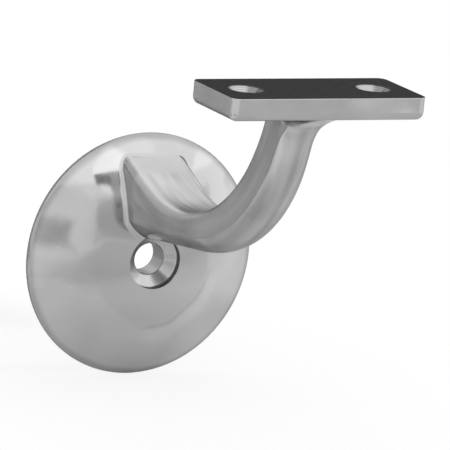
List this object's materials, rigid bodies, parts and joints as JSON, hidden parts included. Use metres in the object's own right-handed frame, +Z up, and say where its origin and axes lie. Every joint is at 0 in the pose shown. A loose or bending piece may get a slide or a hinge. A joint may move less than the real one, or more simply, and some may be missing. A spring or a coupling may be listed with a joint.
{
  "type": "handrail bracket",
  "caption": "One-piece cast metal wall bracket: a domed round wall plate, a curved tapering arm and a flat plate that carries a handrail.",
  "frame": {"origin": "where the axis of the wall screw meets the wall, at the centre of the round wall plate's back", "axes": "+Z is up, -Y points from the wall into the room, and X runs along the handrail. The part is mirror symmetric about X = 0"},
  "size_m": [0.0724, 0.1063, 0.1059],
  "materials": {
    "cast_metal": "satin to polished cast metal, neutral grey, with a darker matt top face on the rail plate and fine turning marks in the screw seat"
  },
  "bodies": {
    "root": {"bracket": "cast_metal"}
  },
  "joints": []
}
